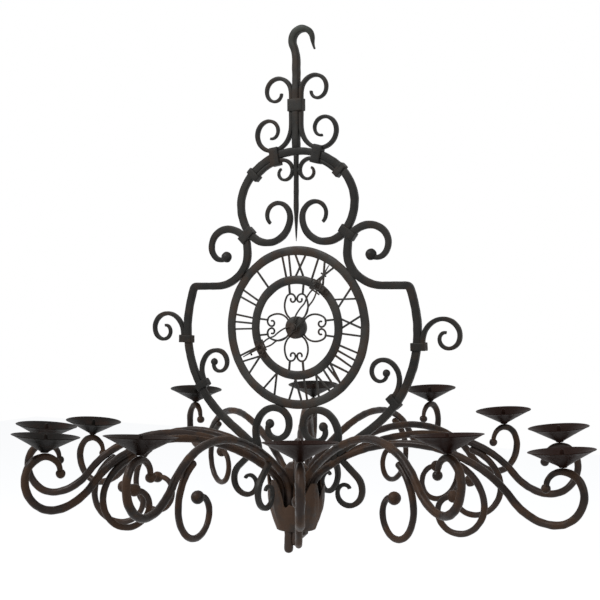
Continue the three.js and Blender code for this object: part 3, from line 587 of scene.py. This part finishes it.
halfTurn = frameMatrix @ Matrix.Rotation(math.pi, 4, "Z")
sides = {
    "right": {"place": frameMatrix, "arm": 0, "outer": -35, "inner": -153, "clampAskew": 8, "kissAskew": 4},
    "left": {"place": halfTurn, "arm": 6, "outer": -29, "inner": -134, "clampAskew": 14, "kissAskew": -5},
}
lowPart = sideDown[8:]
for side, at in sides.items():
    place = at["place"]
    armUnder = armLine(*armTrim[at["arm"]][:2], 0)
    # The tail of the side bar ends where it would run into the arm below
    sideLine = [p for p in sideFine if p.z > 0 or p.x > 150 or nearestPoint(p, armUnder)[0] > 9]
    steps = enumerate(zip(sideLine, sideLine[1:]))
    ends = next((i for i, (p, q) in steps if math.dist(p[:2], q[:2]) > 12), None)
    addBar("sideBar_" + side, "side_bar_" + side, {
        "line": sideLine[:ends + 1] if ends else sideLine, "width": frameBar["width"],
        "depth": frameBar["depth"], "hammer": 0.5, "seed": len(side),
        "taper": lambda t: 0.62 + 0.38 * between(t, 0, 0.16)}, place)
    addBall("sideBall_" + side, "side_bar_" + side, sideUp[-1], 12.3, 0.8, place)
    addCollar("sideCollar_" + side, "side_bar_" + side, beside(kiss, (frameBar["width"] + seat) / 2),
              19, -clasp["far"], clasp["far"], clasp["depth"], place, at["kissAskew"])

    spot = pointWhere(lowPart, lambda p: p.z, at["outer"])
    start = beside(spot, scrollReach + seat)
    addBar("outerScroll_" + side, "outer_scroll_" + side, {
        "line": bend(start.x, start.z, math.degrees(spot.h) + 180, [
            (outerBar["lead"],), (outerBar["volute"], outerBar["volute"] * 0.48, -212),
            (outerBar["curl"], outerBar["eye"], -250)], fine=fine),
        "width": frameBar["scroll"], "depth": frameBar["scrollDepth"], "hammer": 0.35,
        "taper": lambda t: 1 - 0.35 * between(t, 0.5, 1)}, place)
    addCollar("outerCollar_" + side, "outer_scroll_" + side, beside(spot, frameBar["width"] / 2 + seat),
              clasp["along"], -clasp["far"], clasp["near"], clasp["depth"], place, 3)

    spot = pointWhere(lowPart, lambda p: p.z, at["inner"])
    start = beside(spot, -scrollReach - seat)
    v = innerBar["volute"]
    innerLine = bend(start.x, start.z, math.degrees(spot.h) + 180, [
        (innerBar["lead"],), (v, v * 0.44, 170), (v * 0.46, innerBar["eye"], 250)], fine=fine)
    addBar("innerScroll_" + side, "inner_scroll_" + side, {
        "line": innerLine, "width": frameBar["scroll"], "depth": frameBar["scrollDepth"], "hammer": 0.35,
        "taper": lambda t: 1 - 0.3 * between(t, 0.5, 1)}, place)
    addBall("innerBall_" + side, "inner_scroll_" + side, innerLine[-1], 8.3, 0.85, place)
    addCollar("innerCollar_" + side, "inner_scroll_" + side, beside(spot, -frameBar["width"] / 2 - seat),
              clasp["along"], -clasp["near"], clasp["far"], clasp["depth"], place, -4)

    baseClear = dialRadius + baseBar["width"] / 2 + seat
    drop = settle(lambda d: min(math.hypot(p.x, p.z) for p in baseLine(d)) - baseClear, -402.5, -199.5)
    lead = At(baseBar["leadX"], drop - baseBar["lead"], rad(80))
    baseFine = [lead] + baseLine(drop, fine)
    addBar("baseScroll_" + side, "base_scroll_" + side, {
        "line": baseFine, "width": baseBar["width"], "depth": baseBar["depth"], "hammer": 0.45,
        "taper": lambda t: 1 - 0.25 * between(t, 0.5, 1)}, place)
    addBall("baseBall_" + side, "base_scroll_" + side, baseFine[-1], 10.3, 0.85, place)

    addBar("crestScroll_" + side, "crest_scroll_" + side, {
        "line": crestFine, "width": crest["width"], "depth": frameBar["scrollDepth"], "hammer": 0.3,
        "taper": lambda t: 1 - 0.35 * between(abs(t - 0.5), 0.3, 0.5)}, place)
    clampAt = pointWhere(turnedBack(archRise), lambda p: p.x, 52)
    addCollar("crestClamp_" + side, "crest_scroll_" + side, clampAt,
              22, -20, 20, clasp["depth"], place, at["clampAskew"])

    addBar("hangingScroll_" + side, "hanging_scroll_" + side, {
        "line": hangFine, "width": crest["width"], "depth": frameBar["scrollDepth"], "hammer": 0.3,
        "taper": lambda t: 1 - 0.4 * between(t, 0.4, 1)}, place)
    tip = min(hangFine, key=lambda p: p.x)
    addBall("hangingWeld_" + side, "hanging_scroll_" + side, tip._replace(x=tip.x - 1.5), 6.4, 0.8, place)
    addCollar("hangingClip_" + side, "hanging_scroll_" + side, hangCoarse[0],
              15, -23.5, 7.3, clasp["depth"], place)
print("frame and its scrolls made")

# Stem and hook
hook = {"straightTo": 572, "lean": 84, "crown": 24.5, "lip": 63, "width": 15}
stemFoot = archTop + frameBar["width"] / 2 + seat
hookLine = bend(0, stemFoot, 90, [
    (hook["straightTo"] - stemFoot,), (hook["lean"], hook["lean"], 24),
    (hook["crown"], hook["crown"], -201), (hook["lip"], hook["lip"], 22)], fine=fine)
addBar("hookStem", "hook_stem", {
    "line": hookLine, "width": hook["width"], "hammer": 0.5, "section": squareSection(0.3),
    "taper": lambda t: 1 - 0.75 * between(t, 0.82, 1), "bulge": 0.3})
addCollar("stemCollar", "hook_stem", At(0, crest["waist"], math.pi / 2), 27, -17.8, 17.8, clasp["depth"])
print("hook made")

# Pan and pricket, turned as one
panShape = {"radius": 65, "height": 28, "floor": 12, "neck": 7.5, "lift": 4.5, "lean": 4.5,
            "spike": 4.5, "spikeTop": 35.5}


def panProfile():
    p = panShape
    low, top, rim, bed, spike = p["lift"], p["lift"] + p["height"], p["radius"], p["floor"], p["spike"]
    return [
        (0.1, 0), (p["neck"], 0.2), (p["neck"] + 0.6, 2), (bed, low), (bed + 20, low + 10.6),
        (rim - 16, top - 8.5), (rim - 3, top - 2.0), (rim - 0.2, top - 1.1), (rim + 0.3, top - 0.2),
        (rim - 0.8, top + 0.3), (rim - 2.4, top - 0.4), (rim - 17, top - 6.4), (bed + 20, low + 13.4),
        (bed + 1, low + 3.2), (bed - 3, low + 2.7), (spike + 0.6, low + 2.7), (spike, low + 3.6),
        (spike, low + 20), (spike * 0.75, p["spikeTop"] - 1.5), (spike * 0.5, p["spikeTop"]),
        (0.1, p["spikeTop"])]


underSize = {"sweep": 97, "volute": 69, "width": 14.5, "drawn": 14.1}
lowerBar = {"width": 12.5, "touch": 110, "out": 6.4, "lead": 44, "sweep": 40, "waist": 30,
            "curl": 28.8, "eye": 9}
lowerNames = ["right", "back", "left", "front"]
for index, (lift, share, turn, foot, underAt) in enumerate(armTrim):
    number = str(index).zfill(2)
    around = rad(30 * index)
    onRing = Vector((math.cos(around), math.sin(around), 0)) * ringRadius
    place = frameMatrix @ Matrix.Translation(onRing)
    place = place @ Matrix.Rotation(around + rad(turn), 4, "Z") @ Matrix.Translation((-ringRadius, 0, 0))
    coarse = armLine(lift, share, foot)
    footShows = foot > 10  # two feet show under the leaves, upset wider and round, and the rest end inside
    footWide = 0.28 if footShows else 0.12
    addBar("arm_" + number + "_bar", "arm_" + number, {
        "line": smoothHeadings(armLine(lift, share, foot - 8 if footShows else -20, fine)),
        "width": armSize["drawn"], "section": roundSection(),
        "taper": lambda t: (1 + footWide * between(t, 0.08, 0.01)) * (1 - 0.34 * between(t, 0.93, 1)),
        "knob": armSize["ball"] * 0.95, "hammer": 0.7, "seed": index, "bulge": 0.8}, place)

    at = pointWhere(coarse, lambda p: p.x, underAt)
    start = beside(at, -(armSize["bar"] + underSize["width"]) * math.cos(rad(30)) / 2 - seat)
    sweep, volute = underSize["sweep"], underSize["volute"]
    under = bend(start.x, start.z, math.degrees(at.h) - 2, [
        (sweep, sweep * 0.95, -54), (volute, volute * 0.76, -90),
        (volute * 0.71, volute * 0.6, -90), (volute * 0.52, volute * 0.4, -95)], 32, fine)
    addBar("underScroll_" + number, "under_scroll_" + number, {
        "line": under, "width": underSize["drawn"], "section": roundSection(), "knob": 13, "hammer": 0.5,
        "seed": index + 20, "taper": lambda t: 1 - 0.15 * t, "bulge": 0.6}, place)

    stand = pointWhere(coarse[-8:], lambda p: p.h, rad(180))
    high = stand.z + armFlat + seat + panShape["neck"] * math.sin(rad(panShape["lean"]))
    lean = Matrix.Rotation(-rad(panShape["lean"]), 4, "Y")
    panPlace = place @ Matrix.Translation((stand.x, 0, high)) @ lean
    addPiece("pan_" + number + "_bowl", "pan_" + number, *turnedPoints(panProfile(), 72, dent=0.6), panPlace)

    if index % 3 == 0:
        at = pointWhere(coarse[2:], lambda p: p.x, lowerBar["touch"])
        start = beside(at, -lowerBar["out"])
        lowerLine = bend(start.x, start.z, -42, [
            (lowerBar["lead"],), (lowerBar["sweep"], lowerBar["waist"], -138),
            (lowerBar["curl"], lowerBar["eye"], -250)], fine=fine)
        which = lowerNames[index // 3]
        addBar("lowerScroll_" + which, "lower_scroll_" + which, {
            "line": lowerLine, "width": lowerBar["width"], "depth": frameBar["scrollDepth"],
            "hammer": 0.4, "taper": lambda t: 1 - 0.4 * between(t, 0.4, 1)}, place)
print("arms, pans and under scrolls made")

# Dial: two flat rings, hour strokes, four hearts, the boss
dialSize = {"ring": 19, "chapter": 112, "chapterRing": 18.5, "thick": 5, "stroke": 4, "spacing": 16.5,
            "heart": 4.2, "rodIn": 15.7, "rodOut": 18.15, "rodEnd": 94.5, "boss": 24, "bossThick": 14}
numerals = [("XII", 2), ("I", 9), ("II", 2), ("III", -4), ("IV", 2), ("V", 4),
            ("VI", 2), ("VII", 2), ("VIII", -3), ("IX", 2), ("X", -2), ("XI", 2)]
strokesOf = {"I": [(0, 0)], "V": [(-1, 0), (1, 0)], "X": [(-1, 1), (1, -1)]}
letterWidth = {"I": 1, "V": 2.6, "X": 2.6}
letterSplay = {"I": 0, "V": 15.5, "X": 13}


def addFlatRing(name, outer, width):
    t, e = dialSize["thick"] / 2, 0.7
    inner = outer - width
    profile = [(inner, -t + e), (inner + e, -t), (outer - width / 2, -t), (outer - e, -t), (outer, -t + e),
               (outer, t - e), (outer - e, t), (outer - width / 2, t), (inner + e, t), (inner, t - e)]
    return addPiece(name, "dial", *turnedPoints(profile, 144, across=True, dent=0.7, closed=True))


def addStroke(name, node, a, b, width, depth, place=frameMatrix):
    heading = math.atan2(b[1] - a[1], b[0] - a[0])
    line = [At(a[0], a[1], heading), At(b[0], b[1], heading)]
    return addBar(name, node, {"line": line, "width": width, "depth": depth, "hammer": 0.15, "bulge": 0.05,
                               "gap": 8, "section": squareSection(0.3)}, place)


def dialSpot(turn, side, radius):  # a spot on the dial, from how far beside the hour's line and how far out
    x = -(side * math.cos(turn) + radius * math.sin(turn))
    return x, radius * math.cos(turn) - side * math.sin(turn)


addFlatRing("hourRing", dialRadius, dialSize["ring"])
addFlatRing("chapterRing", dialSize["chapter"], dialSize["chapterRing"])
inner, outer = dialSize["chapter"] - 1, dialRadius - dialSize["ring"] + 1
for hour, (word, off) in enumerate(numerals):
    turn = rad(30 * hour + off)
    at = -sum(letterWidth[letter] for letter in word) / 2
    for letter in word:
        middle = (at + letterWidth[letter] / 2) * dialSize["spacing"]
        at += letterWidth[letter]
        half = letterSplay[letter]
        for top, foot in strokesOf[letter]:
            innerEnd = math.sqrt(inner ** 2 - middle ** 2 * 0.6)
            outerEnd = math.sqrt(outer ** 2 - middle ** 2 * 0.8)
            low = dialSpot(turn, (middle + foot * half) * inner / outer, innerEnd)
            high = dialSpot(turn, middle + top * half, outerEnd)
            addStroke("hourStroke", "dial", low, high, dialSize["stroke"], 3.5)

edge = dialSize["boss"] - 3
heartSpread = rad(32)


def heartHalf(lobe):
    return bend(edge * math.sin(heartSpread), edge * math.cos(heartSpread), 20, [
        (21, 44, 100), (lobe, lobe * 0.83, 150), (lobe * 0.58, lobe * 0.34, 215)], 40, 2)


# The two halves of a heart meet at the middle without crossing
heartLobe = settle(lambda r: min(p.x for p in heartHalf(r)) - 2.15, 6, 26)
heartLine = heartHalf(heartLobe)
heartTop = max(p.z for p in heartLine)
for quarter in range(4):
    place = frameMatrix @ Matrix.Rotation(rad(90 * quarter), 4, "Y")
    for name, line in (("heartRight", heartLine), ("heartLeft", turnedBack(mirrored(heartLine)))):
        addBar(name, "dial", {"line": line, "width": dialSize["heart"], "hammer": 0.15, "gap": 3,
                              "section": roundSection(10)}, place)
    for s in (1, -1):
        rodIn, rodOut = (s * dialSize["rodIn"], heartTop - 2.1), (s * dialSize["rodOut"], dialSize["rodEnd"])
        addStroke("heartRod", "dial", rodIn, rodOut, dialSize["heart"], 4, place)
t = dialSize["bossThick"] / 2
boss = dialSize["boss"]
bossProfile = [(0.1, t), (boss - 1.4, t), (boss, t - 1.2), (boss, -t + 1.2), (boss - 1.4, -t), (12, -t),
               (3.2, -t), (3.2, -13.2), (6, -13.4), (6.2, -15.2), (4, -16.1), (0.1, -16.2)]
addPiece("dialBoss", "dial", *turnedPoints(bossProfile, 48, across=True, dent=0.8))
print("dial made")

# Hands: two bowed bars, a knot of rings and a tip. For each its reach, its layer and its angle at rest
handBar = {"width": 3.2, "tip": 5.1, "thick": 2.5, "layer": 3.1}
halfThick = handBar["thick"] / 2
hands = {"minute_hand": (158, 1, 33), "hour_hand": (146, 0, 243)}
for node, (reach, level, angle) in hands.items():
    y = -(dialSize["bossThick"] / 2 + seat + level * handBar["layer"] + halfThick)
    place = frameMatrix @ Matrix.Translation((0, y, 0)) @ Matrix.Rotation(rad(angle), 4, "Y")
    eye = [(3.5, -halfThick), (8.6, -halfThick), (9, -0.9), (9, 0.9), (8.6, halfThick), (3.5, halfThick)]
    addPiece(node + "_eye", node, *turnedPoints(eye, 32, across=True, closed=True), place)
    knotAt = reach * 0.68
    runs = [(reach * 0.2, reach * 0.5, 40), (reach * 0.12, reach * 0.12, -30),
            (reach * 0.22, reach * 0.3, 42)]
    coarse, bow = bend(4.95, 5.4, 66, runs, 24), bend(4.95, 5.4, 66, runs, 24, 2)
    grow = (knotAt - 6 - coarse[0].z) / (coarse[-1].z - coarse[0].z)
    foot, wide = bow[0].z, 0.55 + 0.45 * grow
    line = smoothHeadings([At(p.x * wide, foot + (p.z - foot) * grow, p.h) for p in bow])
    for name, path in (("_bowRight", line), ("_bowLeft", turnedBack(mirrored(line)))):
        addBar(node + name, node, {
            "line": path, "width": handBar["width"], "depth": handBar["thick"], "hammer": 0.1, "gap": 3,
            "section": squareSection(0.35)}, place)
    cross = [((-reach * 0.09, knotAt - 14), (reach * 0.09, knotAt - 14)),
             ((-reach * 0.045, knotAt + reach * 0.17), (reach * 0.045, knotAt + reach * 0.17))]
    for a, b in cross:
        addStroke(node + "_bar", node, a, b, handBar["width"], handBar["thick"], place)
    aside, small = reach * 0.075, reach * 0.045
    for x, z, r in ((0, knotAt, reach * 0.065), (-aside, knotAt + 1, small), (aside, knotAt + 1, small)):
        loop = [(r - 2.5, -1.1), (r - 0.3, -halfThick), (r, -0.9), (r, 0.9), (r - 0.3, halfThick),
                (r - 2.5, 1.1)]
        loopPlace = place @ Matrix.Translation((x, 0, z))
        addPiece(node + "_loop", node, *turnedPoints(loop, 28, across=True, closed=True), loopPlace)
    addBar(node + "_tip", node, {
        "line": bend(0, knotAt + reach * 0.04, 90, [(reach * 0.28,)], fine=fine),
        "width": handBar["tip"], "depth": handBar["thick"],
        "hammer": 0.1, "section": squareSection(0.3), "taper": lambda t: 1 - 0.6 * t}, place)
print("hands made")

# Leaf cup round the feet of the arms: lobed leaves with a raised vein, hammered thin
leaf = {"top": -308, "bottom": -432, "belly": 57, "wall": 2.6, "count": 8, "notch": 58, "flare": 5}
leafLow = [22, 4, 0, 6, 2, 10, 62, 16]  # how much lower each leaf ends; the front one is cut short


def leafPoints():
    columns, rows = leaf["count"] * 20, 26
    base = ringRadius + armFlat
    points, faces = [], []
    for grow in (leaf["wall"], 0):
        for i in range(rows + 1):
            for k in range(columns):
                u = k / columns
                lobe = abs(math.sin(math.pi * leaf["count"] * u))
                own = int(u * leaf["count"] + 1e-6) % leaf["count"]
                top = leaf["top"] - leafLow[own] * lobe ** 0.5 - leaf["notch"] * (1 - lobe ** 0.7)
                top -= 4 * abs(math.sin(math.pi * leaf["count"] * 3 * u))
                z = leaf["bottom"] + (top - leaf["bottom"]) * i / rows
                v = (z - leaf["bottom"]) / (leaf["top"] - leaf["bottom"])
                bowl = base + (leaf["belly"] - base) * math.sin(min(1, v * 1.7) * math.pi * 0.5)
                bowl += leaf["flare"] * max(0, v - 0.7) - 2.5 * (1 - lobe) * v
                vein = 0.9 * math.exp(-((lobe - 1) / 0.03) ** 2) * min(1, 3 * v)
                ribs = 0.5 * math.sin(math.pi * leaf["count"] * 6 * u + v * 9) * v
                r = bowl * (1 + 0.06 * v * (lobe - 0.4)) + grow + (vein + ribs) * (1 if grow else 0.7)
                x, y = math.cos(2 * math.pi * u), math.sin(2 * math.pi * u)
                r += 0.7 * noise.noise(Vector((x * 4, y * 4, z / 14)))
                points.append((r * x, r * y, z))
    skin = (rows + 1) * columns

    def quad(*corners):  # each corner as its skin, row and column
        faces.append(tuple(layer * skin + i * columns + k % columns for layer, i, k in corners))

    for k in range(columns):
        for i in range(rows):
            quad((0, i, k), (0, i, k + 1), (0, i + 1, k + 1), (0, i + 1, k))
            quad((1, i, k + 1), (1, i, k), (1, i + 1, k), (1, i + 1, k + 1))
        quad((0, rows, k), (0, rows, k + 1), (1, rows, k + 1), (1, rows, k))
        quad((0, 0, k + 1), (0, 0, k), (1, 0, k), (1, 0, k + 1))
    return points, faces


addPiece("leafCup", "leaf_cup", *leafPoints())
frame["nodes"]["arm_post"].data.materials.clear()
frame["nodes"]["arm_post"].data.materials.append(finishes["arm_iron"])
print("leaf cup made")

# Pale floor well below, and a white surround to the eye
floorSize = {"half": 9.0, "drop": 2.1}
floorMesh = bpy.data.meshes.new("floor")
half, level = floorSize["half"], -floorSize["drop"]
corners = [(-half, -half, level), (half, -half, level), (half, half, level), (-half, half, level)]
floorMesh.from_pydata(corners, [], [(0, 1, 2, 3)])
floor = bpy.data.objects.new("floor", floorMesh)
scene.collection.objects.link(floor)
floorPaint = Paint("floor_white")
pale = floorPaint.add("BsdfDiffuse", {}, {"Color": (0.9, 0.9, 0.9)}, "BSDF")  # this part takes the shadow
glow = floorPaint.add("Emission", {}, {"Color": (1, 1, 1), "Strength": 0.58}, "Emission")
floorMesh.materials.append(floorPaint.finish(floorPaint.seenWhite(
    floorPaint.add("BsdfDiffuse", {}, {"Color": (0.42, 0.41, 0.40)}, "BSDF"),
    floorPaint.add("AddShader", {}, [pale, glow], "Shader"))))

sky = Paint("studio", world=True)
scene.world = sky.finish(sky.seenWhite(
    sky.add("Background", {}, {"Color": (0.95, 0.97, 1.0), "Strength": 0.42}, "Background"),
    sky.add("Background", {}, {"Color": (1, 1, 1), "Strength": 1.0}, "Background")))

# A broad soft light high on the left, and a weaker one on the right
lights = {
    "windowLight": {"place": (-1.8, -2.8, 2.2), "size": 1.4, "power": 130},
    "fillLight": {"place": (3.2, -1.2, 0.4), "size": 2.4, "power": 28},
}
for name, wanted in lights.items():
    light = bpy.data.lights.new(name, "AREA")
    light.shape = "DISK"
    light.size = wanted["size"]
    light.energy = wanted["power"]
    holder = bpy.data.objects.new(name, light)
    holder.location = wanted["place"]
    holder.rotation_euler = (lampAxis - Vector(wanted["place"])).to_track_quat("-Z", "Y").to_euler()
    scene.collection.objects.link(holder)

# The view: level, off to the right of the frame
view = {"reach": 2.5155, "turn": 30, "above": 0.070, "lens": 70.2, "right": 0.008, "down": 0.0108}
turn = rad(view["turn"])
eye = lampAxis + Vector((math.sin(turn), -math.cos(turn), 0)) * view["reach"] + Vector((0, 0, view["above"]))
aim = lampAxis + Vector((math.cos(turn), math.sin(turn), 0)) * view["right"]
aim.z += view["above"] - view["down"]
cameraData = bpy.data.cameras.new("camera")
cameraData.lens = view["lens"]
cameraData.sensor_width = 36
camera = bpy.data.objects.new("camera", cameraData)
camera.location = eye
camera.rotation_euler = (aim - eye).to_track_quat("-Z", "Y").to_euler()
scene.collection.objects.link(camera)
scene.camera = camera
scene.view_settings.view_transform = "Standard"
print("camera and light set")
